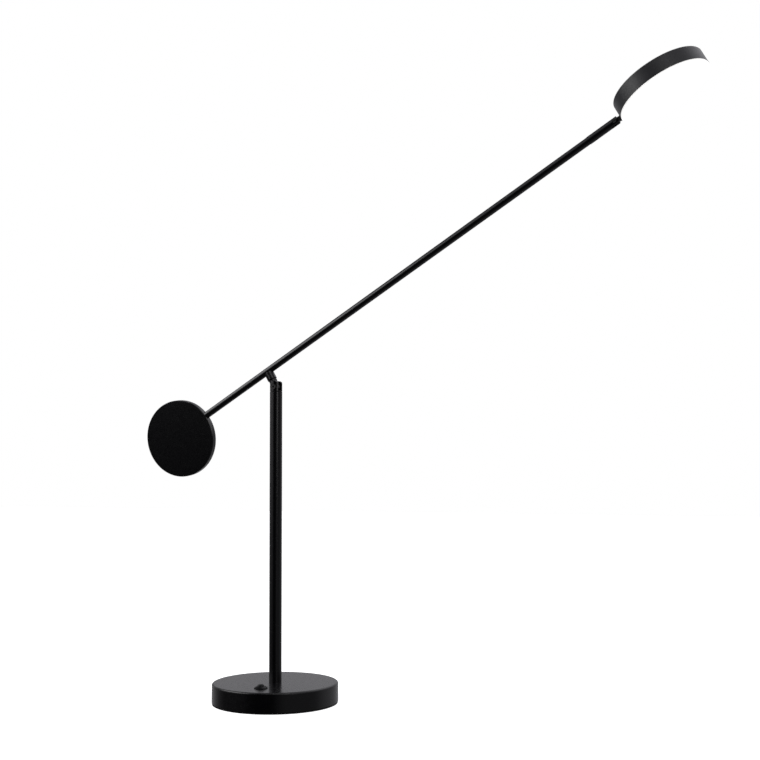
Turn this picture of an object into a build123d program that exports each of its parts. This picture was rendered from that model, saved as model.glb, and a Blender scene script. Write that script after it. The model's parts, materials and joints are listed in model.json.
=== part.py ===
"""Counterweight balance desk lamp: round weighted base, upright pole, long tilting arm with a
steel disc at its short end and a round LED head at its long end.

Frame: millimetres, +Z up, origin on the desk under the middle of the base. The arm's upright
plane is XZ, with the lamp head towards +X and the push switch towards -Y. Every solid is drawn
in the frame of what carries it, in the pose of rest, and moved from there into the lamp's frame.
"""

from build123d import *
import math
import os

# ---------------------------------------------------------------- driving dimensions (mm, deg)

# Base
base_radius = 78.0
base_height = 25.0
sheet = 1.2                     # pressed steel cover and bottom plate
base_edge_round = 2.2
pad_radius = 77.5
pad_thickness = 2.0
plate_radius = 76.5
weight_radius = 76.4
weight_top = 15.2               # top of the iron, under the electronics
centre_boss_radius = 14.0       # the iron's middle, which the cover stands on
plate_screw_circle = 60.0
plate_screw_angles = (30, 150, 270)
plate_screw_radius = 2.0

# Pole
pole_radius = 7.8
pole_bore = 6.3
pole_top = 384.7
foot_length = 16.0
nipple_radius = 5.0
nipple_bore = 3.4
nipple_bottom = 8.6
nipple_top = 38.2
seam_chamfer = 0.3

# Pan swivel in the top of the pole
washer_gap = 0.5                # nylon washer seen as a thin seam
spigot_radius = 4.5
thread_radius = 4.0
running_gap = 0.05
bush_length = 20.0
stop_pin_radius = 0.8
stop_pin_circle = 5.45
stop_pin_depth = 3.0            # into the bush

# Knuckle
pivot_height = 391.0
arm_rise = 23.7                 # pivot to the arm's centre line
slot_width = 10.2
slot_floor = 386.5
ear_round = 7.5
pivot_radius = 2.0
pivot_head_radius = 3.1
pivot_head_floor = 6.1          # bottom of the screw head's recess, from the middle
pivot_head_top = 7.2
tongue_width = 8.2
tongue_thickness = 9.4
collar_radius = 5.2
collar_low = 15.8               # these four lie below the arm's centre line
collar_high = 15.0
boss_low = 13.4
boss_edge_round = 0.8
neck_radius = 4.4
boss_radius = 6.0
boss_stud_radius = 3.0
lead_hole_radius = 1.1

# Arm
arm_slope = 30.0
arm_radius = 4.5
arm_bore = 3.3
arm_back = 107.7                # knuckle to the arm's end at the disc
arm_front = 486.7               # knuckle to the arm's end at the lamp head
arm_lead_hole = 1.3
lead_radius = 0.9

# Counterweight
disc_radius = 50.0
disc_thickness = 8.0
disc_edge = 0.8
disc_along = 157.2              # knuckle to the disc's middle
disc_drop = 5.5                 # the disc's middle lies under the arm's line
disc_turn = 8.0                 # how far the disc was screwed round
stud_radius = 2.5
stud_length = 18.0
plug_depth = 20.0

# Lamp head's swivel sleeve and tilt hinge, all measured from the knuckle
sleeve_radius = 4.8
sleeve_start = 486.8
sleeve_end = 527.0
sleeve_edge = 0.4
journal_radius = 3.2
journal_end = 509.0
grub_along = 495.2
grub_radius = 1.5
hinge_along = 522.8
hinge_slot = 4.2
hinge_slot_start = 517.0
hinge_pin = 1.5
hinge_head_radius = 2.3
head_roll = -0.45
head_droop = 1.3

# Lamp head
head_radius = 54.5
head_thickness = 17.4
head_gap = 7.5                  # tilt hinge to the head's wall
head_lift = 4.64                # head's mid plane over the hinge lug
head_edge_round = 1.2
wall = 1.8
back = 1.6
lug_radius = 2.6
lug_flange_radius = 3.3
lug_stud_radius = 1.8
lug_stud_length = 9.3
diffuser_radius = 54.2
diffuser_thickness = 2.0        # stands proud of the metal wall
diffuser_round = 1.0
locating_ring_height = 1.5
locating_ring_width = 1.8
led_rings = ((12, 22.0), (24, 40.0))        # how many, on what radius
led_length, led_width, led_height = 3.5, 2.8, 0.7

# Push switch and power inlet
switch_x, switch_y = 7.9, -46.2
barrel_radius = 6.0
button_radius = 4.2
button_rise = 4.9
button_dome = 2.7
button_gap = 0.08
inlet_height = 12.0
inlet_collar_radius = 4.1
inlet_bore = 3.15
inlet_depth = 10.9
inlet_recess = 0.6              # its collar's face, inside the cover's side
inlet_pin = 1.05


# ---------------------------------------------------------------- small helpers

def rod(radius, low, high):
    """Upright cylinder from low to high on Z."""
    return Pos(0, 0, low) * Cylinder(radius, high - low, align=(Align.CENTER, Align.CENTER, Align.MIN))


def rod_x(radius, low, high):
    """Cylinder along X."""
    return Pos(low, 0, 0) * Rot(0, 90, 0) * rod(radius, 0, high - low)


def rod_y(radius, low, high):
    """Cylinder along Y."""
    return Pos(0, low, 0) * Rot(-90, 0, 0) * rod(radius, 0, high - low)


def tube(outer, inner, low, high):
    """Upright tube from low to high on Z."""
    return rod(outer, low, high) - rod(inner, low - 1, high + 1)


def taper(low_radius, high_radius, low, high):
    """Upright truncated cone from low to high on Z."""
    cone = Cone(low_radius, high_radius, high - low, align=(Align.CENTER, Align.CENTER, Align.MIN))
    return Pos(0, 0, low) * cone


def block(x_low, x_high, y_low, y_high, z_low, z_high):
    """Box between two corners."""
    size = (x_high - x_low, y_high - y_low, z_high - z_low)
    return Pos(x_low, y_low, z_low) * Box(*size, align=(Align.MIN, Align.MIN, Align.MIN))


def hex_prism(across_flats, low, high):
    """Upright hexagon bar from low to high on Z."""
    corner_radius = across_flats / math.sqrt(3)
    return Pos(0, 0, low) * extrude(RegularPolygon(corner_radius, 6), high - low)


def top_edges(part):
    """Edges of the highest face."""
    return part.faces().sort_by(Axis.Z)[-1].edges()


def bottom_edges(part):
    """Edges of the lowest face."""
    return part.faces().sort_by(Axis.Z)[0].edges()


def around(angles, radius, part):
    """Copies of a part on a circle about Z."""
    return [Rot(0, 0, angle) * Pos(radius, 0, 0) * part for angle in angles]


def without(part, holes):
    """A part less a list of holes."""
    for hole in holes:
        part -= hole
    return part


def lead_along(points, bend_radius):
    """Round lead along straight runs joined by arcs."""
    route = FilletPolyline(*points, radius=bend_radius)
    start = Plane(origin=route @ 0, z_dir=route % 0)
    return sweep(start * Circle(lead_radius), path=route)


# ---------------------------------------------------------------- frames of the moving pieces

slope = math.radians(arm_slope)
arm_direction = Vector(math.cos(slope), 0, math.sin(slope))
arm_up = Vector(-math.sin(slope), 0, math.cos(slope))
arm_middle = Vector(0, 0, pivot_height) + arm_up * arm_rise

lamp_frame = Pos(0, 0, 0)
switch_frame = Pos(switch_x, switch_y, base_height)
pivot_frame = Pos(0, 0, pivot_height)
arm_frame = Plane(origin=arm_middle, x_dir=arm_direction, z_dir=arm_up).location
disc_frame = arm_frame * Pos(-disc_along, 0, 0) * Rot(disc_turn, 0, 0)
sleeve_frame = arm_frame * Rot(head_roll, 0, 0)
hinge_frame = sleeve_frame * Pos(hinge_along, 0, 0) * Rot(0, head_droop, 0)
head_frame = hinge_frame * Pos(head_gap + head_radius, 0, head_lift)


# ---------------------------------------------------------------- base

cover_underside = base_height - sheet
plate_top = pad_thickness + sheet
plate_screw_end = 13.0
counterbore_radius = 12.0       # room for the washer and nut under the iron
counterbore_top = 13.8
lead_window_x = -24.0           # where the lead goes down beside the iron's middle
lead_trench_top = 8.2
board_middle = (-47.0, 0.0)
board_size = (38.0, 28.0, 1.6)
board_low = 18.0
board_top = board_low + board_size[2]
board_posts = [(board_middle[0] + dx, board_middle[1] + dy) for dx in (-15, 15) for dy in (-10, 10)]
board_screw_radius = 1.25
board_screw_end = 13.0


def make_foot_pad():
    access_hole = rod(5.0, -1, pad_thickness + 1)
    pad = rod(pad_radius, 0, pad_thickness)
    return without(pad, around(plate_screw_angles, plate_screw_circle, access_hole))


def make_bottom_plate():
    clearance_hole = rod(plate_screw_radius + 0.3, 0, 10)
    plate = rod(plate_radius, pad_thickness, plate_top)
    return without(plate, around(plate_screw_angles, plate_screw_circle, clearance_hole))


def make_plate_screws():
    head_height = 1.6
    head = rod(3.6, pad_thickness - head_height, pad_thickness)
    head = fillet(bottom_edges(head), 0.6)
    drive = hex_prism(2.5, 0, pad_thickness - 0.6)
    screw = head + rod(plate_screw_radius, pad_thickness, plate_screw_end) - drive
    return around(plate_screw_angles, plate_screw_circle, screw)


def make_base_weight():
    """Iron disc, with posts for the board and pockets for the lead, switch and inlet."""
    iron = rod(weight_radius, plate_top, weight_top)
    iron += rod(centre_boss_radius, weight_top, cover_underside)
    iron -= rod(nipple_radius + 0.2, 0, base_height)
    iron -= rod(counterbore_radius, 0, counterbore_top)
    for x, y in board_posts:
        iron += Pos(x, y, 0) * rod(3.0, weight_top, board_low)
        iron -= Pos(x, y, 0) * rod(board_screw_radius, board_screw_end - 1, board_low + 1)
    iron -= block(lead_window_x - 5, lead_window_x + 5, -4, 4, 0, base_height)
    iron -= block(lead_window_x, 0, -2.5, 2.5, 0, lead_trench_top)
    screw_hole = rod(plate_screw_radius, 0, plate_screw_end + 0.2)
    iron = without(iron, around(plate_screw_angles, plate_screw_circle, screw_hole))
    iron -= Pos(switch_x, switch_y, 0) * rod(10.0, 0, base_height)
    iron -= block(-4.8, 4.8, 62.5, 80.0, inlet_height - 5.0, base_height)
    return iron


def make_base_cover():
    shell = rod(base_radius, pad_thickness, base_height)
    shell = fillet(top_edges(shell), base_edge_round)
    hollow = rod(base_radius - sheet, 0, cover_underside)
    shell -= fillet(top_edges(hollow), base_edge_round - sheet)
    shell -= rod(nipple_radius + 0.2, 0, base_height + 1)
    shell -= Pos(switch_x, switch_y, 0) * rod(barrel_radius + 0.1, 0, base_height + 1)
    shell -= Pos(0, 0, inlet_height) * rod_y(inlet_collar_radius + 0.3, 60, 90)
    return shell


def make_driver_board():
    """Board with its coil, two terminals, driver chip and capacitor."""
    length, width = board_size[:2]
    x, y = board_middle
    board = block(x - length / 2, x + length / 2, y - width / 2, y + width / 2, board_low, board_top)
    for post_x, post_y in board_posts:
        board -= Pos(post_x, post_y, 0) * rod(board_screw_radius + 0.15, 0, base_height)
    coil = block(-9, 1, -5, 5, 0, 2.8)
    lead_terminal = block(13, 18.5, -3.5, 3.5, 0, 3.0)
    inlet_terminal = block(-18.5, -13, -3.5, 3.5, 0, 3.0)
    driver_chip = block(4, 9, 2, 7, 0, 1.5)
    capacitor = Pos(6.5, -6, 0) * rod(2.5, 0, 2.6)
    for component in (coil, lead_terminal, inlet_terminal, driver_chip, capacitor):
        board += Pos(x, y, board_top) * component
    return board


def make_board_screws():
    screw = rod(2.2, board_top, board_top + 1.4) + rod(board_screw_radius, board_screw_end, board_top)
    return [Pos(x, y, 0) * screw for x, y in board_posts]


def make_dc_inlet():
    """Socket for a 5.5 x 2.1 mm plug, looking out of the back of the base."""
    collar_end = base_radius - inlet_recess
    housing_face = collar_end - 1.3
    housing_start = housing_face - 12.6
    bore_end = collar_end - inlet_depth
    housing = block(-4.5, 4.5, housing_start, housing_face, -5.0, 5.0)
    housing += rod_y(inlet_collar_radius, housing_face, collar_end)
    housing -= rod_y(inlet_bore, bore_end, collar_end + 1)
    housing += rod_y(inlet_pin, bore_end, housing_face)
    return Pos(0, 0, inlet_height) * housing


# ---------------------------------------------------------------- push switch

def make_switch_body():
    """Round flange on the cover, threaded barrel through it and two tags below."""
    flange_radius, flange_edge, flange_height = 8.2, 0.8, 2.6
    barrel_length, tag_length = 15.0, 3.5
    body = rod(flange_radius, 0, flange_edge) + taper(flange_radius, 5.4, flange_edge, flange_height)
    body += rod(barrel_radius, -barrel_length, 0)
    for side in (-3.0, 3.0):
        body += block(side - 0.4, side + 0.4, -1.2, 1.2, -barrel_length - tag_length, -barrel_length)
    return body - rod(button_radius + button_gap, -10.0, flange_height + 1)


def make_switch_nut():
    return hex_prism(14.0, -sheet - 2.2, -sheet) - rod(barrel_radius, -10, 0)


def make_switch_button():
    cap = rod(button_radius, -8.2, button_rise)
    return fillet(top_edges(cap), button_dome)


# ---------------------------------------------------------------- pole

nut_height = 3.8


def make_pole_foot():
    return tube(pole_bore, nipple_radius, base_height, base_height + foot_length)


def make_pole_nipple():
    return tube(nipple_radius, nipple_bore, nipple_bottom, nipple_top)


def make_pole_washer():
    return tube(10.5, nipple_radius + 0.2, counterbore_top - sheet, counterbore_top)


def make_pole_nut():
    nut_top = counterbore_top - sheet
    return hex_prism(15.0, nut_top - nut_height, nut_top) - rod(nipple_radius, 0, nut_top + 1)


def make_pole_tube():
    pole = chamfer(top_edges(rod(pole_radius, base_height, pole_top)), seam_chamfer)
    return pole - rod(pole_bore, base_height - 1, pole_top + 1)


def make_pole_lead():
    """Two-core lead from the board, under the iron and up the middle of the pole."""
    low = 5.6
    under_board, lead_end = 16.5, 350.0
    points = [(lead_window_x, 0, under_board), (lead_window_x, 0, low), (0, 0, low), (0, 0, lead_end)]
    return lead_along(points, 4.5)


# ---------------------------------------------------------------- pan swivel

fork_bottom = pole_top + washer_gap
bush_bottom = pole_top - bush_length
friction_washer_bottom = bush_bottom - 1.0
stop_washer_bottom = friction_washer_bottom - 1.2
spring_washer_bottom = stop_washer_bottom - 1.0
swivel_nut_bottom = spring_washer_bottom - 4.5
spigot_bottom = swivel_nut_bottom - 2.0
stop_pin_place = Pos(stop_pin_circle, 0, 0)
stop_pin_top = bush_bottom + stop_pin_depth


def make_pole_bush():
    bush = tube(pole_bore, spigot_radius + running_gap, bush_bottom, pole_top)
    return bush - stop_pin_place * rod(stop_pin_radius, bush_bottom - 1, stop_pin_top)


def make_stop_pin():
    return stop_pin_place * rod(stop_pin_radius, stop_washer_bottom + 0.3, stop_pin_top)


def make_friction_washer():
    washer = tube(6.1, spigot_radius + running_gap, friction_washer_bottom, bush_bottom)
    return washer - stop_pin_place * rod(stop_pin_radius, stop_washer_bottom, stop_pin_top)


def make_stop_washer():
    """Keyed washer whose tab meets the pin at either end of the pan."""
    ring_radius, tab_end, tab_half_width = 4.55, 6.1, 0.55
    ring = tube(ring_radius, thread_radius, stop_washer_bottom, friction_washer_bottom)
    tab = block(-tab_end, -ring_radius + 0.25, -tab_half_width, tab_half_width,
                stop_washer_bottom, friction_washer_bottom)
    return ring + tab


def make_spring_washer():
    return tube(5.6, thread_radius, spring_washer_bottom, stop_washer_bottom)


def make_swivel_nut():
    nut = hex_prism(10.4, swivel_nut_bottom, spring_washer_bottom)
    return nut - rod(thread_radius, swivel_nut_bottom - 1, spring_washer_bottom + 1)


def make_swivel_washer():
    return tube(pole_radius - seam_chamfer, spigot_radius + running_gap, pole_top, fork_bottom)


# ---------------------------------------------------------------- knuckle

half_slot = slot_width / 2
half_tongue_width, half_tongue_thickness = tongue_width / 2, tongue_thickness / 2
boss_stud_top = -5.4            # under the arm's centre line


def make_fork_head():
    """Slotted head the width of the pole, with round-topped ears and a hollow spigot."""
    ear_top = pivot_height + ear_round
    ears = chamfer(bottom_edges(rod(pole_radius, fork_bottom, ear_top)), seam_chamfer)
    outline = pivot_frame * rod_y(ear_round, -20, 20)
    outline += block(-20, 20, -20, 20, fork_bottom, pivot_height)
    ears &= outline
    ears -= block(-20, 20, -half_slot, half_slot, slot_floor, ear_top + 5)
    fork = ears + rod(spigot_radius, friction_washer_bottom, fork_bottom)
    fork += rod(thread_radius, spigot_bottom, friction_washer_bottom)
    fork -= rod(2.0, spigot_bottom - 1, slot_floor + 1)
    fork -= pivot_frame * rod_y(pivot_radius + 0.1, -20, 0)
    fork -= pivot_frame * rod_y(pivot_radius, 0, 20)
    fork -= pivot_frame * rod_y(pivot_head_radius + 0.2, -20, -pivot_head_floor)
    return fork


def make_pivot_screw():
    screw = rod_y(pivot_head_radius, -pivot_head_top, -pivot_head_floor)
    screw += rod_y(pivot_radius, -pivot_head_floor, 6.6)
    drive = Pos(0, -pivot_head_top, 0) * Rot(-90, 0, 0) * hex_prism(2.5, -1, 1.2)
    return pivot_frame * (screw - drive)


def make_pivot_washers():
    thickness = half_slot - half_tongue_thickness
    ring = rod_y(3.9, 0, thickness) - rod_y(pivot_radius + 0.1, -1, 1)
    front = Pos(0, -half_slot, pivot_height) * ring
    rear = Pos(0, half_tongue_thickness, pivot_height) * ring
    return [front, rear]


def make_pivot_tongue():
    """Round bar with four flats in the fork, collar, neck and a stud into the arm's boss."""
    lead_turn = -19.0           # where the lead leaves the back flat
    bar = block(-half_tongue_width, half_tongue_width, -half_tongue_thickness, half_tongue_thickness,
                -arm_rise, -collar_low)
    bar += Pos(0, 0, -arm_rise) * rod_y(half_tongue_width, -half_tongue_thickness, half_tongue_thickness)
    bar &= rod(collar_radius, -arm_rise - 10, -collar_low)
    tongue = bar + rod(collar_radius, -collar_low, -collar_high)
    tongue += rod(neck_radius, -collar_high, -boss_low)
    tongue += rod(boss_stud_radius, -boss_low, boss_stud_top)
    tongue -= Pos(0, 0, -arm_rise) * rod_y(pivot_radius + running_gap, -10, 10)
    tongue -= rod(lead_hole_radius, lead_turn - 1, 0)
    channel_width = lead_hole_radius
    tongue -= block(-channel_width, channel_width, half_tongue_thickness - 1.3, 10, -30, lead_turn)
    tongue -= block(-channel_width, channel_width, 0, 10, lead_turn - 1, lead_turn)
    return tongue


def make_arm_boss():
    """Short round boss saddled to the underside of the arm."""
    boss = rod(boss_radius, -boss_low, -2.8)
    boss = fillet(bottom_edges(boss), boss_edge_round)
    boss -= rod_x(arm_radius, -20, 20)
    boss -= rod(boss_stud_radius, -boss_low - 1, boss_stud_top + 0.2)
    boss -= rod(lead_hole_radius, boss_stud_top - 1, 0)
    return boss


# ---------------------------------------------------------------- arm and counterweight

def make_arm_tube():
    arm = rod_x(arm_radius, -arm_back, arm_front) - rod_x(arm_bore, -arm_back - 1, arm_front + 1)
    return arm - rod(arm_lead_hole, -arm_radius - 1, 0)


def make_arm_end_plug():
    plug = rod_x(arm_bore, -arm_back, -arm_back + plug_depth)
    return plug + rod_x(stud_radius, -arm_back - stud_length, -arm_back)


def make_counterweight_disc():
    """Round plate standing in the arm's plane, drilled through its rim for the arm's stud."""
    disc = rod_y(disc_radius, -disc_thickness / 2, disc_thickness / 2)
    disc = chamfer(disc.edges().filter_by(GeomType.CIRCLE), disc_edge)
    disc = Pos(0, 0, -disc_drop) * disc
    rim_at = disc_along - arm_back
    disc -= rod_x(arm_radius + 0.05, rim_at - 0.1, rim_at + 20)
    disc -= rod_x(stud_radius, rim_at - stud_length - 1.3, rim_at)
    return disc


def make_arm_end_stub():
    """Journal in the end of the arm for the head's sleeve. Its groove has one land, as a stop."""
    groove_start, groove_end, groove_radius = 494.0, 496.4, 2.5
    stub = rod_x(arm_bore, arm_front - 16, arm_front)
    stub += rod_x(journal_radius, arm_front, journal_end)
    groove = rod_x(10, groove_start, groove_end) - rod_x(groove_radius, groove_start - 1, groove_end + 1)
    stub -= groove - block(groove_start - 1, groove_end + 1, -0.4, 0.4, 0, 10)
    stub -= rod_x(arm_lead_hole, arm_front - 20, journal_end + 1)
    return stub


def make_arm_lead():
    lead_end = 514.0
    points = [(0, 0, -10.0), (0, 0, 0), (lead_end, 0, 0)]
    return lead_along(points, 4.0)


# ---------------------------------------------------------------- sleeve and tilt hinge

hinge_seat = 3.6                # the hinge screw's head and point, from the middle
hinge_end = 4.2


def make_head_sleeve():
    """Sleeve that turns on the arm's journal, slotted at its front end for the head's lug."""
    sleeve = rod_x(sleeve_radius, sleeve_start, sleeve_end)
    sleeve = chamfer(sleeve.edges().filter_by(GeomType.CIRCLE), sleeve_edge)
    sleeve -= rod_x(journal_radius + running_gap, sleeve_start - 1, journal_end + 1)
    sleeve -= rod_x(arm_lead_hole, journal_end, sleeve_end + 1)
    sleeve -= block(hinge_slot_start, sleeve_end + 1, -hinge_slot / 2, hinge_slot / 2, -10, 10)
    sleeve -= Pos(grub_along, 0, 0) * rod(grub_radius, -10, 0)
    sleeve -= Pos(hinge_along, 0, 0) * rod_y(hinge_pin, -10, 10)
    sleeve -= Pos(hinge_along, 0, 0) * rod_y(hinge_head_radius + 0.1, -10, -hinge_seat)
    return sleeve


def make_sleeve_grub_screw():
    """Its point runs in the journal's groove and keeps the sleeve on."""
    shoulder = -3.3
    screw = rod(grub_radius, -4.4, shoulder) + rod(0.9, shoulder, -2.6)
    return Pos(grub_along, 0, 0) * (screw - hex_prism(1.5, -5, -3.8))


def make_hinge_screw():
    head_top = 4.6
    screw = rod_y(hinge_head_radius, -head_top, -hinge_seat) + rod_y(hinge_pin, -hinge_seat, hinge_end)
    slot = block(-3, 3, -head_top - 1, -head_top + 0.4, -0.3, 0.3)
    return Pos(hinge_along, 0, 0) * (screw - slot)


def make_head_lug():
    """Eye in the sleeve's slot, a flange against the head and a hollow stud into it."""
    half_thickness = hinge_slot / 2 - running_gap
    lug = block(0, head_gap - 0.6, -half_thickness, half_thickness, -lug_radius, lug_radius)
    lug += rod_y(lug_radius, -half_thickness, half_thickness)
    lug += rod_x(lug_flange_radius, head_gap - 1.0, head_gap)
    lug += rod_x(lug_stud_radius, head_gap, head_gap + lug_stud_length)
    lug -= rod_y(hinge_pin + running_gap, -10, 10)
    lug -= rod_x(lead_radius + 0.05, 0, 30)
    return lug


# ---------------------------------------------------------------- lamp head, light side down

half_head = head_thickness / 2
inner_radius = head_radius - wall
back_inside = half_head - back
plate_high = back_inside - 1.8
plate_low = plate_high - 1.5
led_board_low = plate_low - 1.2
locating_ring_top = -half_head + locating_ring_height
lug_boss_depth = 10.0
head_screw_circle = 31.0
head_screw_angles = (0, 120, 240)
head_screw_radius = 1.5


def make_head_housing():
    """Spun aluminium cup with posts for the LED plate and a boss for the hinge lug."""
    cup = rod(head_radius, -half_head, half_head)
    cup = fillet(top_edges(cup), head_edge_round)
    cup -= rod(inner_radius, -half_head - 1, back_inside)
    for post in around(head_screw_angles, head_screw_circle, rod(3.5, plate_high, back_inside + 0.5)):
        cup += post
    lug_boss = block(-head_radius, -head_radius + lug_boss_depth, -5.5, 5.5, locating_ring_top + 0.1, 0.6)
    cup += lug_boss & rod(head_radius - 0.5, -half_head, half_head)
    screw_hole = rod(head_screw_radius, plate_low, back_inside)
    cup = without(cup, around(head_screw_angles, head_screw_circle, screw_hole))
    return cup - Pos(0, 0, -head_lift) * rod_x(lug_stud_radius, -head_radius - 1, -40)


def led_layer(radius, low, high):
    """Round layer of the light engine with clearance holes for its screws."""
    clearance_hole = rod(head_screw_radius + 0.2, low - 1, high + 1)
    return without(rod(radius, low, high), around(head_screw_angles, head_screw_circle, clearance_hole))


def make_led_plate():
    return led_layer(inner_radius - 0.3, plate_low, plate_high)


def make_led_board():
    return led_layer(47.0, led_board_low, plate_low)


def make_leds():
    package = block(-led_width / 2, led_width / 2, -led_length / 2, led_length / 2,
                    led_board_low - led_height, led_board_low)
    leds = []
    for count, radius in led_rings:
        leds += around([(step + 0.5) * 360 / count for step in range(count)], radius, package)
    return leds


def make_head_screws():
    head_low = led_board_low - 1.6
    screw = rod(2.75, head_low, led_board_low) + rod(head_screw_radius, led_board_low, back_inside - 0.3)
    drive = hex_prism(2.0, head_low - 1, led_board_low - 0.8)
    return around(head_screw_angles, head_screw_circle, screw - drive)


def make_reflector_ring():
    """White ring round the LEDs, cut away at the lug's boss."""
    ring = rod(inner_radius - 0.2, locating_ring_top, plate_low)
    ring -= taper(51.0, 48.2, locating_ring_top, plate_low)
    return ring - block(-head_radius, -40, -6.2, 6.2, locating_ring_top - 1, 1.5)


def make_diffuser():
    """Opal disc as wide as the head, with a ring that locates it inside the wall."""
    disc = rod(diffuser_radius, -half_head - diffuser_thickness, -half_head)
    disc = fillet(bottom_edges(disc), diffuser_round)
    ring_radius = inner_radius - 0.05
    return disc + tube(ring_radius, ring_radius - locating_ring_width, -half_head, locating_ring_top)


def make_head_lead():
    """From the lug's stud to the LED board."""
    lead_start, turn_at = -45.0, -34.0
    points = [(lead_start, 0, -head_lift), (turn_at, 0, -head_lift), (turn_at, 0, led_board_low - 0.1)]
    return lead_along(points, 4.0)


# ---------------------------------------------------------------- the lamp, one file a piece

pieces = {
    "foot_pad": (lamp_frame, make_foot_pad),
    "bottom_plate": (lamp_frame, make_bottom_plate),
    "plate_screws": (lamp_frame, make_plate_screws),
    "base_weight": (lamp_frame, make_base_weight),
    "base_cover": (lamp_frame, make_base_cover),
    "driver_board": (lamp_frame, make_driver_board),
    "board_screws": (lamp_frame, make_board_screws),
    "dc_inlet": (lamp_frame, make_dc_inlet),
    "switch_body": (switch_frame, make_switch_body),
    "switch_nut": (switch_frame, make_switch_nut),
    "switch_button": (switch_frame, make_switch_button),
    "pole_foot": (lamp_frame, make_pole_foot),
    "pole_nipple": (lamp_frame, make_pole_nipple),
    "pole_washer": (lamp_frame, make_pole_washer),
    "pole_nut": (lamp_frame, make_pole_nut),
    "pole_tube": (lamp_frame, make_pole_tube),
    "pole_lead": (lamp_frame, make_pole_lead),
    "pole_bush": (lamp_frame, make_pole_bush),
    "stop_pin": (lamp_frame, make_stop_pin),
    "friction_washer": (lamp_frame, make_friction_washer),
    "stop_washer": (lamp_frame, make_stop_washer),
    "spring_washer": (lamp_frame, make_spring_washer),
    "swivel_nut": (lamp_frame, make_swivel_nut),
    "swivel_washer": (lamp_frame, make_swivel_washer),
    "fork_head": (lamp_frame, make_fork_head),
    "pivot_screw": (lamp_frame, make_pivot_screw),
    "pivot_washers": (lamp_frame, make_pivot_washers),
    "pivot_tongue": (arm_frame, make_pivot_tongue),
    "arm_boss": (arm_frame, make_arm_boss),
    "arm_tube": (arm_frame, make_arm_tube),
    "arm_end_plug": (arm_frame, make_arm_end_plug),
    "counterweight_disc": (disc_frame, make_counterweight_disc),
    "arm_end_stub": (arm_frame, make_arm_end_stub),
    "arm_lead": (arm_frame, make_arm_lead),
    "head_sleeve": (sleeve_frame, make_head_sleeve),
    "sleeve_grub_screw": (sleeve_frame, make_sleeve_grub_screw),
    "hinge_screw": (sleeve_frame, make_hinge_screw),
    "head_lug": (hinge_frame, make_head_lug),
    "head_housing": (head_frame, make_head_housing),
    "led_plate": (head_frame, make_led_plate),
    "led_board": (head_frame, make_led_board),
    "leds": (head_frame, make_leds),
    "head_screws": (head_frame, make_head_screws),
    "reflector_ring": (head_frame, make_reflector_ring),
    "diffuser": (head_frame, make_diffuser),
    "head_lead": (head_frame, make_head_lead),
}


def single_solids(made):
    """The solids of a piece, or of a list of like pieces."""
    solids = []
    for part in made if isinstance(made, list) else [made]:
        solids += part.solids()
    return solids


os.makedirs("parts", exist_ok=True)
for node, (frame, make) in pieces.items():
    placed = [frame * solid for solid in single_solids(make())]
    whole = placed[0] if len(placed) == 1 else Compound(children=placed)
    whole.label = node
    export_step(whole, f"parts/{node}.step")

hinge_plane = Plane(hinge_frame)
print("arm middle", arm_middle, "direction", arm_direction)
print("tilt hinge", hinge_plane.origin, "axis", hinge_plane.y_dir)
print("head middle", head_frame.position, "light towards", -hinge_plane.z_dir)
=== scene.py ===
"""Looks of a counterweight balance desk lamp: black powder-coated steel, a lit opal face, a pale studio.

Everything is in metres in the lamp's own frame: +Z up, the arm's upright plane is XZ, the lamp
head is towards +X and the push switch towards -Y. The CAD nodes keep their shapes and get their
finishes here.
"""

import json
import math

import bpy
from mathutils import Matrix, Vector


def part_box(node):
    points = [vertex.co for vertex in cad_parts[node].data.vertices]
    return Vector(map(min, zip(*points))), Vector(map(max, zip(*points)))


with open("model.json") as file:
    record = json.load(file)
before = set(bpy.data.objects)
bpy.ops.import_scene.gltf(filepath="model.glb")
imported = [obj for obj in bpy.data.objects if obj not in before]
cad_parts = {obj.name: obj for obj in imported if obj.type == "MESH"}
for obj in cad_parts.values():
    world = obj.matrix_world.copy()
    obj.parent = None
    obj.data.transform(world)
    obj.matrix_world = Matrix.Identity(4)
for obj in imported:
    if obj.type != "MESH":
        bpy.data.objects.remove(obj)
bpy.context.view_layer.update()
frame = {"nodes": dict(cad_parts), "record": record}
nodes = frame["nodes"]


# ---------------------------------------------------------------- camera

CAMERA_PLACE = (0.8059, -1.3189, 0.2869)
CAMERA_YAW = 26.567             # degrees from +Y towards -X
CAMERA_PITCH = 4.171
CAMERA_ROLL = -0.19
CAMERA_LENS = 58.03             # mm, on a 36 mm wide sensor
SENSOR_WIDTH = 36.0
CLIP_START, CLIP_END = 0.05, 60.0


def add_camera():
    """Camera at the photograph's viewing angle, looking slightly up at the lamp."""
    data = bpy.data.cameras.new("photo_camera")
    data.sensor_fit = "HORIZONTAL"
    data.sensor_width = SENSOR_WIDTH
    data.lens = CAMERA_LENS
    data.clip_start, data.clip_end = CLIP_START, CLIP_END
    camera = bpy.data.objects.new("photo_camera", data)
    bpy.context.scene.collection.objects.link(camera)
    turn = Matrix.Rotation(math.radians(CAMERA_YAW), 4, "Z")
    tip = Matrix.Rotation(math.radians(90 + CAMERA_PITCH), 4, "X")
    roll = Matrix.Rotation(math.radians(CAMERA_ROLL), 4, "Z")
    camera.matrix_world = Matrix.Translation(CAMERA_PLACE) @ turn @ tip @ roll
    bpy.context.scene.camera = camera


# ---------------------------------------------------------------- shader trees

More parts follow.
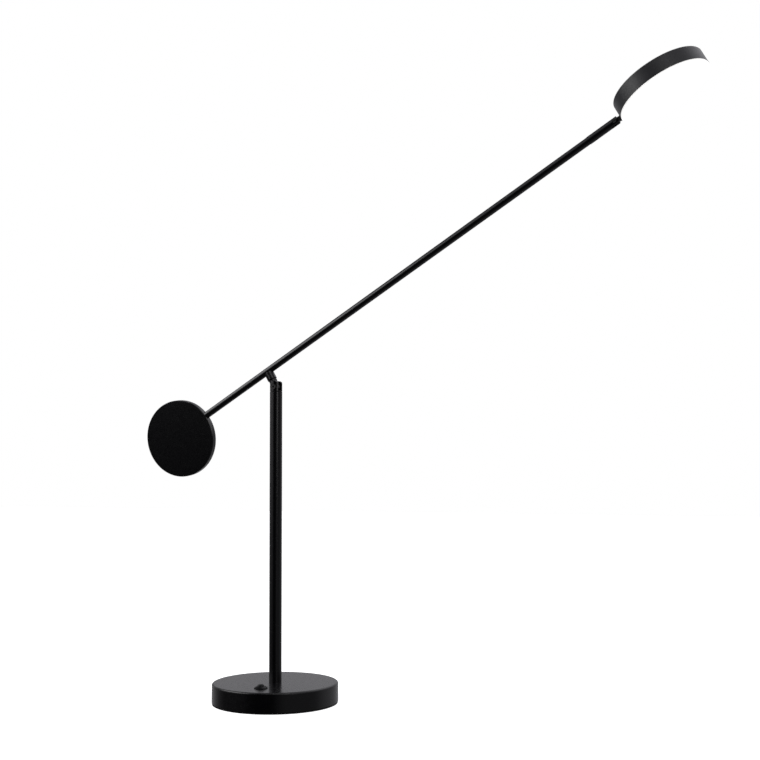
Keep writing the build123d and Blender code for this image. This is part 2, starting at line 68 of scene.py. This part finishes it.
class ShaderTree:
    """A shader's node tree, with short ways to add nodes and join them."""

    def __init__(self, tree):
        self.tree = tree

    def node(self, kind, **settings):
        made = self.tree.nodes.new(kind)
        for key, value in settings.items():
            setattr(made, key, value)
        return made

    def link(self, output, socket):
        self.tree.links.new(output, socket)

    def combine(self, operation, a, b=0.0):
        """Arithmetic on one or two values, each an output or a number."""
        made = self.node("ShaderNodeMath", operation=operation)
        for socket, value in zip(made.inputs, (a, b)):
            if isinstance(value, float):
                socket.default_value = value
            else:
                self.link(value, socket)
        return made.outputs[0]

    def vector(self, operation, a, b=None):
        """Vector arithmetic on an output and, if given, a fixed vector."""
        made = self.node("ShaderNodeVectorMath", operation=operation)
        self.link(a, made.inputs[0])
        if b is not None:
            made.inputs[1].default_value = b
        return made.outputs["Value" if operation in ("LENGTH", "DOT_PRODUCT") else "Vector"]

    def map_range(self, value, start, end, low, high, smooth=False):
        """From low to high as the value goes from start to end, in a straight line or a smooth step."""
        made = self.node("ShaderNodeMapRange", interpolation_type="SMOOTHSTEP" if smooth else "LINEAR")
        numbers = {"From Min": start, "From Max": end, "To Min": low, "To Max": high}
        for key, number in numbers.items():
            made.inputs[key].default_value = number
        self.link(value, made.inputs["Value"])
        return made.outputs["Result"]


# ---------------------------------------------------------------- studio

# Bearings turn from straight behind the lamp towards its head. A wall is its bearing, its half width at
# full glow and its half width where it ends, in degrees. A height is the upward part of a unit direction.
BACKDROP_BEARING = 0.0
BACKDROP_GLOW = 0.465
BACKDROP_FALLOFF = 1.8          # power of the cosine of the angle from the backdrop's middle
LEFT_WALL = (-99.0, 20.0, 42.0)
LEFT_WALL_RISE = (-0.12, 0.14)          # heights between which its glow rises
LEFT_WALL_GLOW = (0.05, 0.72)           # below and above them
LEFT_WALL_FOOT = (-0.22, -0.14)         # heights between which its foot comes in
LEFT_WALL_FOOT_SHARE = (0.1, 1.0)
NEAR_RIGHT_WALL = (55.0, 15.0, 55.0)
NEAR_RIGHT_GLOW = 0.30
FAR_RIGHT_WALL = (115.0, 42.0, 66.0)
FAR_RIGHT_GLOW = 0.135
RIGHT_WALLS_RISE = (0.15, 0.7)
RIGHT_WALLS_SHARE = (1.0, 4.0)          # they are brighter high up
ROOM_FALL = (-0.3, -0.8)
ROOM_GLOW = (0.006, 0.05)               # the dark room, and its floor
ROOM_COLOUR = (0.99, 0.98, 1.03, 1.0)
WHITE = (1.0, 1.0, 1.0, 1.0)

FLOOR_HALF_WIDTH = 6.0
FLOOR_DROP = 0.0002             # under the lamp's pad
FLOOR_COLOUR = (0.8, 0.8, 0.8, 1.0)
FLOOR_ROUGHNESS = 0.9
FLOOR_BRIGHTNESS = 0.86


def bearing(degrees):
    """Level direction at a bearing, as the photograph's camera sees it."""
    turn = math.radians(CAMERA_YAW - degrees)
    return Vector((-math.sin(turn), math.cos(turn), 0.0))


def area_light(name, place, target, size, radiance):
    """Softbox aimed at a target, which the camera doesn't see."""
    data = bpy.data.lights.new(name, "AREA")
    data.shape = "RECTANGLE"
    data.size, data.size_y = size
    data.energy = radiance * math.pi * size[0] * size[1]
    light = bpy.data.objects.new(name, data)
    bpy.context.scene.collection.objects.link(light)
    light.location = place
    light.rotation_euler = (Vector(target) - Vector(place)).to_track_quat("-Z", "Y").to_euler()
    light.visible_camera = False


def upright_softbox(name, at, distance, low, high, width, radiance):
    """Upright softbox on a bearing from the pole, facing it."""
    middle = Vector((0.0, 0.0, (low + high) / 2))
    area_light(name, bearing(at) * distance + middle, middle, (width, high - low), radiance)


class Studio(ShaderTree):
    """World shader: white to the camera, and the walls of a dim studio to the lamp."""

    def __init__(self):
        world = bpy.data.worlds.new("studio")
        bpy.context.scene.world = world
        world.use_nodes = True
        super().__init__(world.node_tree)
        self.tree.nodes.clear()
        self.direction = self.node("ShaderNodeTexCoord").outputs["Generated"]
        split = self.node("ShaderNodeSeparateXYZ")
        self.link(self.direction, split.inputs[0])
        self.height = split.outputs["Z"]
        flat = self.vector("MULTIPLY", self.direction, (1.0, 1.0, 0.0))
        self.level = self.vector("NORMALIZE", flat)

    def by_height(self, heights, values):
        """Smooth step from the first value to the second between two heights."""
        return self.map_range(self.height, *heights, *values, smooth=True)

    def wall(self, at, full, fade):
        """1 within full degrees of a bearing, 0 past fade degrees."""
        cosine = self.vector("DOT_PRODUCT", self.level, bearing(at))
        start, end = math.cos(math.radians(fade)), math.cos(math.radians(full))
        return self.map_range(cosine, start, end, 0.0, 1.0, smooth=True)

    def lobe(self, at, power):
        """Cosine of the angle to a level bearing, to a power, and 0 behind it."""
        cosine = self.vector("DOT_PRODUCT", self.direction, bearing(at))
        return self.combine("POWER", self.combine("MAXIMUM", cosine, 0.0), power)

    def background(self, colour):
        made = self.node("ShaderNodeBackground")
        made.inputs["Color"].default_value = colour
        return made

    def finish(self, glow):
        """Show the glow to the lamp and plain white to the camera."""
        seen, room = self.background(WHITE), self.background(ROOM_COLOUR)
        self.link(glow, room.inputs["Strength"])
        choose = self.node("ShaderNodeMixShader")
        path = self.node("ShaderNodeLightPath")
        self.link(path.outputs["Is Camera Ray"], choose.inputs["Fac"])
        self.link(room.outputs[0], choose.inputs[1])
        self.link(seen.outputs[0], choose.inputs[2])
        output = self.node("ShaderNodeOutputWorld")
        self.link(choose.outputs[0], output.inputs["Surface"])


def add_world():
    """Bright backdrop, a left wall over eye level, right walls that brighten upwards, a dark camera side."""
    studio = Studio()
    lobe = studio.lobe(BACKDROP_BEARING, BACKDROP_FALLOFF)
    backdrop = studio.combine("MULTIPLY", lobe, BACKDROP_GLOW)
    left_glow = studio.by_height(LEFT_WALL_RISE, LEFT_WALL_GLOW)
    left = studio.combine("MULTIPLY", studio.wall(*LEFT_WALL), left_glow)
    left_foot = studio.by_height(LEFT_WALL_FOOT, LEFT_WALL_FOOT_SHARE)
    left = studio.combine("MULTIPLY", left, left_foot)
    near_right = studio.combine("MULTIPLY", studio.wall(*NEAR_RIGHT_WALL), NEAR_RIGHT_GLOW)
    far_right = studio.combine("MULTIPLY", studio.wall(*FAR_RIGHT_WALL), FAR_RIGHT_GLOW)
    right = studio.combine("MAXIMUM", near_right, far_right)
    right = studio.combine("MULTIPLY", right, studio.by_height(RIGHT_WALLS_RISE, RIGHT_WALLS_SHARE))
    walls = studio.combine("MAXIMUM", studio.combine("MAXIMUM", backdrop, left), right)
    studio.finish(studio.combine("ADD", walls, studio.by_height(ROOM_FALL, ROOM_GLOW)))


def add_floor():
    """Pale floor, which neither lights the lamp nor shows in its reflections."""
    side, low = FLOOR_HALF_WIDTH, -FLOOR_DROP
    corners = [(-side, -side, low), (side, -side, low), (side, side, low), (-side, side, low)]
    mesh = bpy.data.meshes.new("floor")
    mesh.from_pydata(corners, [], [(0, 1, 2, 3)])
    floor = bpy.data.objects.new("floor", mesh)
    bpy.context.scene.collection.objects.link(floor)
    material = bpy.data.materials.new("pale_floor")
    material.use_nodes = True
    shader = material.node_tree.nodes["Principled BSDF"]
    shader.inputs["Base Color"].default_value = FLOOR_COLOUR
    shader.inputs["Roughness"].default_value = FLOOR_ROUGHNESS
    shader.inputs["Emission Color"].default_value = WHITE
    shader.inputs["Emission Strength"].default_value = FLOOR_BRIGHTNESS
    mesh.materials.append(material)
    floor.visible_glossy = False
    floor.visible_diffuse = False


# ---------------------------------------------------------------- finishes

# Sizes are in metres and angles in degrees.
ARM_TILT = 30.0
HEAD_TILT = 28.7                # the arm's tilt less the head's droop
UPRIGHT = (0.0, 0.0, 1.0)       # axes of a pattern, after its tilt
ALONG_ARM = (1.0, 0.0, 0.0)
GRAIN_STRETCH = (0.06, 1.0, 1.0)        # rolled grain is long in X
DIFFUSER_RADIUS = 0.0542
NOISE_LOW, NOISE_HIGH = 0.3, 0.7        # most of the noise lies between these
BOARD_THICKNESS = 0.0016
BOARD_CLEARANCE = 0.00003       # a component is whatever stands higher than this on the board
TRACK_WIDTH, TRACK_LENGTH = 0.0016, 0.0105
TRACK_GAP = 0.1                 # share of the track's width
TRACK_SOFTNESS = 0.3            # of the gap's edges
LED_BOARD_RINGS = 0.006         # pitch of the rings

ZINC = (0.62, 0.64, 0.67)
BRASS = (0.72, 0.53, 0.24)
ALUMINIUM = (0.78, 0.78, 0.79)
COAT_BLACK = (0.0024, 0.0024, 0.0031)
HEAD_BLACK = (0.015, 0.015, 0.018)
BLACK_OXIDE = (0.0025, 0.0025, 0.0028)
NYLON_BLACK = (0.003, 0.003, 0.003)
SWITCH_BLACK = (0.0025, 0.0025, 0.003)
RUBBER_BLACK = (0.007, 0.007, 0.007)
SHEATH_BLACK = (0.03, 0.03, 0.03)
REFLECTOR_WHITE = (0.9, 0.9, 0.89)


class Finish(ShaderTree):
    """A node material on Object coordinates, with its Principled shader."""

    def __init__(self, name):
        self.material = bpy.data.materials.new(name)
        self.material.use_nodes = True
        super().__init__(self.material.node_tree)
        self.shader = self.tree.nodes["Principled BSDF"]
        self.place = self.node("ShaderNodeTexCoord").outputs["Object"]

    def set(self, **values):
        """Constants of the shader, each by its socket's name with _ for a space."""
        for key, value in values.items():
            socket = self.shader.inputs[key.replace("_", " ")]
            socket.default_value = (*value, 1.0) if isinstance(value, tuple) else value
        return self

    def to(self, socket, output):
        self.link(output, self.shader.inputs[socket])
        return self

    def centre_on(self, node, tilt=0.0):
        """Move the pattern to the middle of a node, and tilt it as the node stands."""
        low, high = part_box(node)
        mapping = self.node("ShaderNodeMapping", vector_type="TEXTURE")
        mapping.inputs["Location"].default_value = (Vector(low) + Vector(high)) / 2
        mapping.inputs["Rotation"].default_value = (0.0, -math.radians(tilt), 0.0)
        self.link(self.place, mapping.inputs["Vector"])
        self.place = mapping.outputs["Vector"]
        return self

    def texture(self, kind, place=None, **numbers):
        """Texture at the pattern's place, with its numbers by socket name with _ for a space."""
        made = self.node(kind)
        for key, number in numbers.items():
            made.inputs[key.replace("_", " ")].default_value = number
        self.link(place or self.place, made.inputs["Vector"])
        return made

    def noise(self, size, detail=2.0, rough=0.5, stretch=None):
        """Noise whose features are about size across, and longer where stretch is small."""
        place = self.vector("MULTIPLY", self.place, stretch) if stretch else None
        made = self.texture("ShaderNodeTexNoise", place, Scale=1.0 / size, Detail=detail, Roughness=rough)
        return made.outputs["Fac"]

    def cells(self, size):
        """Distance to the nearest of scattered points that are about size apart."""
        return self.texture("ShaderNodeTexVoronoi", Scale=1.0 / size).outputs["Distance"]

    def tracks(self, width, length):
        """1 on the copper tracks of a board, 0 in the gaps between them."""
        bricks = self.texture("ShaderNodeTexBrick", Scale=1.0, Mortar_Size=width * TRACK_GAP,
                              Mortar_Smooth=TRACK_SOFTNESS, Brick_Width=length, Row_Height=width)
        return self.combine("SUBTRACT", 1.0, bricks.outputs["Fac"])

    def radius_about(self, axis):
        """Distance from an axis through the pattern's middle."""
        across = tuple(1.0 - abs(part) for part in axis)
        return self.vector("LENGTH", self.vector("MULTIPLY", self.place, across))

    def waves(self, along, pitch):
        """Sine wave of a pitch along a distance."""
        return self.combine("SINE", self.combine("MULTIPLY", along, 2 * math.pi / pitch))

    def tool_marks(self, axis, pitch):
        """Fine turned grooves: rings on the faces and hoops on the round."""
        along = self.vector("DOT_PRODUCT", self.place, axis)
        return self.waves(self.combine("ADD", self.radius_about(axis), along), pitch)

    def ramp(self, factor, stops):
        """Colour from a factor, by stops of (place, colour) in rising order."""
        made = self.node("ShaderNodeValToRGB")
        elements = made.color_ramp.elements
        while len(elements) < len(stops):
            elements.new(0.5)
        for element, (at, colour) in zip(elements, stops):
            element.position = at
            element.color = (*colour, 1.0)
        self.link(factor, made.inputs["Fac"])
        return made.outputs["Color"]

    def bump(self, height, depth, strength, under=None):
        """Normal from a height of a given depth, on top of the one under it."""
        made = self.node("ShaderNodeBump")
        made.inputs["Strength"].default_value = strength
        made.inputs["Distance"].default_value = depth
        self.link(height, made.inputs["Height"])
        if under:
            self.link(under, made.inputs["Normal"])
        return made.outputs["Normal"]

    def noise_span(self, noise, low, high):
        """From low to high over the range that most of the noise lies in."""
        return self.map_range(noise, NOISE_LOW, NOISE_HIGH, low, high)

    def tones(self, colour, size, change=0.2):
        """Base colour that drifts a little darker in patches of about size."""
        darker = tuple(part * (1.0 - change) for part in colour)
        patches = self.noise(size, detail=3.0)
        return self.to("Base Color", self.ramp(patches, [(NOISE_LOW, darker), (NOISE_HIGH, colour)]))

    def rubs(self, low, high, size):
        """Roughness that drifts between two values."""
        return self.to("Roughness", self.noise_span(self.noise(size, detail=3.0), low, high))


def powder_coat(name, roughness, black):
    """Fine-grained black powder coat: orange peel, faint tone changes and even sheen."""
    patch, rub, peel, grain = 0.035, 0.004, 0.0014, 0.00035
    coat = Finish(name).set(IOR=1.5)
    coat.tones(black, patch, change=0.25).rubs(*roughness, rub)
    orange_peel = coat.bump(coat.noise(peel), depth=0.000012, strength=0.4)
    fine_grain = coat.bump(coat.noise(grain, detail=1.0), depth=0.000004, strength=0.3, under=orange_peel)
    return coat.to("Normal", fine_grain).material


def opal_diffuser():
    """Lit opal sheet whose round edge, over the metal wall, glows dimmer: painted shade on the rim."""
    # side is a dimmer glow for the round edge, which paints shade on the rim of the lit face
    full, warm, side = (1.0, 1.0, 1.0), (1.0, 0.99, 0.975), (0.36, 0.357, 0.35)
    opal = Finish("opal_diffuser").centre_on("diffuser", HEAD_TILT)
    opal.set(Base_Color=(0.93, 0.93, 0.92), Emission_Strength=1.6).rubs(0.42, 0.5, size=0.01)
    share = opal.map_range(opal.radius_about(UPRIGHT), 0.0, DIFFUSER_RADIUS, 0.0, 1.0)
    opal.to("Emission Color", opal.ramp(share, [(0.0, full), (0.986, warm), (0.996, side)]))
    return opal.material


def turned_metal(node, colour, axis=UPRIGHT, tilt=0.0):
    """Bright turned metal with the tool's marks about its own axis."""
    pitch, patch, rub, wear = 0.0003, 0.006, 0.002, 0.0006
    metal = Finish(f"turned_{node}").centre_on(node, tilt).set(Metallic=1.0)
    metal.tones(colour, patch, change=0.15).rubs(0.24, 0.36, rub)
    marks = metal.bump(metal.tool_marks(axis, pitch), depth=0.000006, strength=0.5)
    worn = metal.bump(metal.noise(wear), depth=0.000008, strength=0.3, under=marks)
    return metal.to("Normal", worn).material


def rolled_metal(name, colour, roughness=(0.28, 0.42), metallic=1.0):
    """Sheet or stock with the long grain that rolling leaves."""
    metal = Finish(name).set(Metallic=metallic)
    metal.tones(colour, size=0.012, change=0.12)
    grain = metal.noise(0.0006, detail=3.0, stretch=GRAIN_STRETCH)
    metal.to("Roughness", metal.noise_span(grain, *roughness))
    return metal.to("Normal", metal.bump(grain, depth=0.000010, strength=0.5)).material


def cast_iron():
    """Sand-cast iron: coarse skin, small pits and brownish patches."""
    dark, grey, brown = (0.075, 0.072, 0.070), (0.17, 0.165, 0.16), (0.16, 0.115, 0.085)
    patch, rub, sand, pit = 0.011, 0.003, 0.0012, 0.004
    iron = Finish("cast_iron").set(Metallic=0.75).rubs(0.58, 0.82, rub)
    patches = iron.noise(patch, detail=5.0, rough=0.6)
    iron.to("Base Color", iron.ramp(patches, [(0.32, dark), (0.55, grey), (0.72, brown)]))
    skin = iron.bump(iron.noise(sand, detail=4.0, rough=0.65), depth=0.00022, strength=0.8)
    pits = iron.map_range(iron.cells(pit), 0.06, 0.2, 0.0, 1.0)
    return iron.to("Normal", iron.bump(pits, depth=0.00025, strength=0.6, under=skin)).material


def moulded(name, colour, roughness, texture=0.0004, depth=0.000012, **values):
    """Moulded plastic with the fine texture of its tool."""
    patch, rub, drift = 0.009, 0.002, 0.12
    plastic = Finish(name).set(**values).tones(colour, patch)
    plastic.rubs(roughness * (1 - drift), roughness * (1 + drift), rub)
    skin = plastic.bump(plastic.noise(texture, detail=1.0), depth, strength=0.6)
    return plastic.to("Normal", skin).material


def pad_rubber():
    """Black rubber with a pebbled skin, dusty in places."""
    patch, rub, pebble = 0.012, 0.004, 0.0011
    rubber = Finish("pad_rubber").set(Specular_IOR_Level=0.3)
    rubber.tones(RUBBER_BLACK, patch, change=0.4).rubs(0.7, 0.86, rub)
    pebbles = rubber.bump(rubber.cells(pebble), depth=0.00006, strength=0.5)
    return rubber.to("Normal", pebbles).material


def driver_board():
    """Green board whose copper shows through the mask, under black components."""
    green, copper, black = (0.012, 0.11, 0.045), (0.035, 0.2, 0.07), (0.012, 0.012, 0.013, 1.0)
    board = Finish("driver_board").centre_on("driver_board").rubs(0.3, 0.42, size=0.002)
    tracks = board.tracks(TRACK_WIDTH, TRACK_LENGTH)
    low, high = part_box("driver_board")
    board_top = BOARD_THICKNESS - (high[2] - low[2]) / 2
    above = board.vector("DOT_PRODUCT", board.place, UPRIGHT)
    mix = board.node("ShaderNodeMix", data_type="RGBA")
    board.link(board.combine("GREATER_THAN", above, board_top + BOARD_CLEARANCE), mix.inputs["Factor"])
    board.link(board.ramp(tracks, [(0.2, green), (0.8, copper)]), mix.inputs["A"])
    mix.inputs["B"].default_value = black
    board.to("Base Color", mix.outputs["Result"])
    return board.to("Normal", board.bump(tracks, depth=0.00003, strength=0.5)).material


def led_board():
    """White board with rings of copper under the white mask."""
    bare, over_copper = (0.80, 0.80, 0.77), (0.88, 0.88, 0.86)
    board = Finish("led_board").centre_on("led_board", HEAD_TILT).rubs(0.3, 0.42, size=0.003)
    rings = board.waves(board.radius_about(UPRIGHT), LED_BOARD_RINGS)
    board.to("Base Color", board.ramp(rings, [(0.35, bare), (0.65, over_copper)]))
    return board.to("Normal", board.bump(rings, depth=0.00002, strength=0.4)).material


def led_phosphor():
    """Yellow phosphor with its fine powder showing."""
    yellow, glow = (0.92, 0.78, 0.26), (1.0, 0.86, 0.5)
    patch, rub, powder = 0.0008, 0.0006, 0.0002
    phosphor = Finish("led_phosphor").set(Emission_Strength=0.6, Emission_Color=glow)
    phosphor.tones(yellow, patch, change=0.25).rubs(0.3, 0.45, rub)
    grains = phosphor.bump(phosphor.noise(powder), depth=0.00001, strength=0.5)
    return phosphor.to("Normal", grains).material


TURNED_UPRIGHT = ("pole_foot", "pole_nipple", "pole_washer", "pole_nut", "stop_pin",
                  "stop_washer", "spring_washer", "swivel_nut", "switch_nut")


def slot_finishes():
    """The finish of every material slot of the CAD record."""
    return {
        "black_powder_coat": powder_coat("black_powder_coat", (0.22, 0.28), COAT_BLACK),
        "black_painted_aluminium": powder_coat("black_head_paint", (0.34, 0.42), HEAD_BLACK),
        "black_screws": rolled_metal("black_oxide_steel", BLACK_OXIDE, (0.42, 0.55), metallic=0.0),
        "bare_cast_iron": cast_iron(),
        "zinc_plated_steel": rolled_metal("zinc_plate", ZINC),
        "black_nylon": moulded("black_nylon", NYLON_BLACK, 0.5, Specular_IOR_Level=0.25),
        "base_pad_rubber": pad_rubber(),
        "switch_black": moulded("switch_plastic", SWITCH_BLACK, 0.34, Specular_IOR_Level=0.22),
        "green_circuit_board": driver_board(),
        "white_circuit_board": led_board(),
        "led_phosphor": led_phosphor(),
        "bare_aluminium": rolled_metal("bare_aluminium", ALUMINIUM),
        "white_reflector": moulded("white_reflector", REFLECTOR_WHITE, 0.55, texture=0.0008, depth=0.00003),
        "opal_diffuser": opal_diffuser(),
        "lead_sheath": moulded("lead_sheath", SHEATH_BLACK, 0.5, texture=0.0006),
    }


def turned_finishes():
    """The finish of every turned piece, with the tool's marks about the piece's own axis."""
    turned = {node: turned_metal(node, ZINC) for node in TURNED_UPRIGHT}
    turned["pole_bush"] = turned_metal("pole_bush", BRASS)
    turned["arm_end_stub"] = turned_metal("arm_end_stub", BRASS, ALONG_ARM, ARM_TILT)
    turned["arm_end_plug"] = turned_metal("arm_end_plug", ZINC, ALONG_ARM, ARM_TILT)
    return turned


def dress():
    """Give every CAD node the finish of its slot, or its own if it is turned."""
    slots, turned = slot_finishes(), turned_finishes()
    for entry in frame["record"]["subparts"]:
        node = entry["node"]
        mesh = nodes[node].data
        mesh.materials.clear()
        mesh.materials.append(turned[node] if node in turned else slots[entry["material_slot"]])


# ---------------------------------------------------------------- the scene

add_camera()
add_world()
add_floor()
upright_softbox("left_softbox", at=-93, distance=1.1, low=0.62, high=1.30, width=1.40, radiance=2.8)
upright_softbox("right_strip", at=150, distance=1.4, low=0.38, high=1.35, width=0.42, radiance=1.7)
area_light("front_overhead", place=(0.6, -1.2, 1.75), target=(0.1, 0.0, 0.5), size=(1.2, 0.7), radiance=1.0)
dress()
bpy.context.scene.view_settings.view_transform = "Standard"
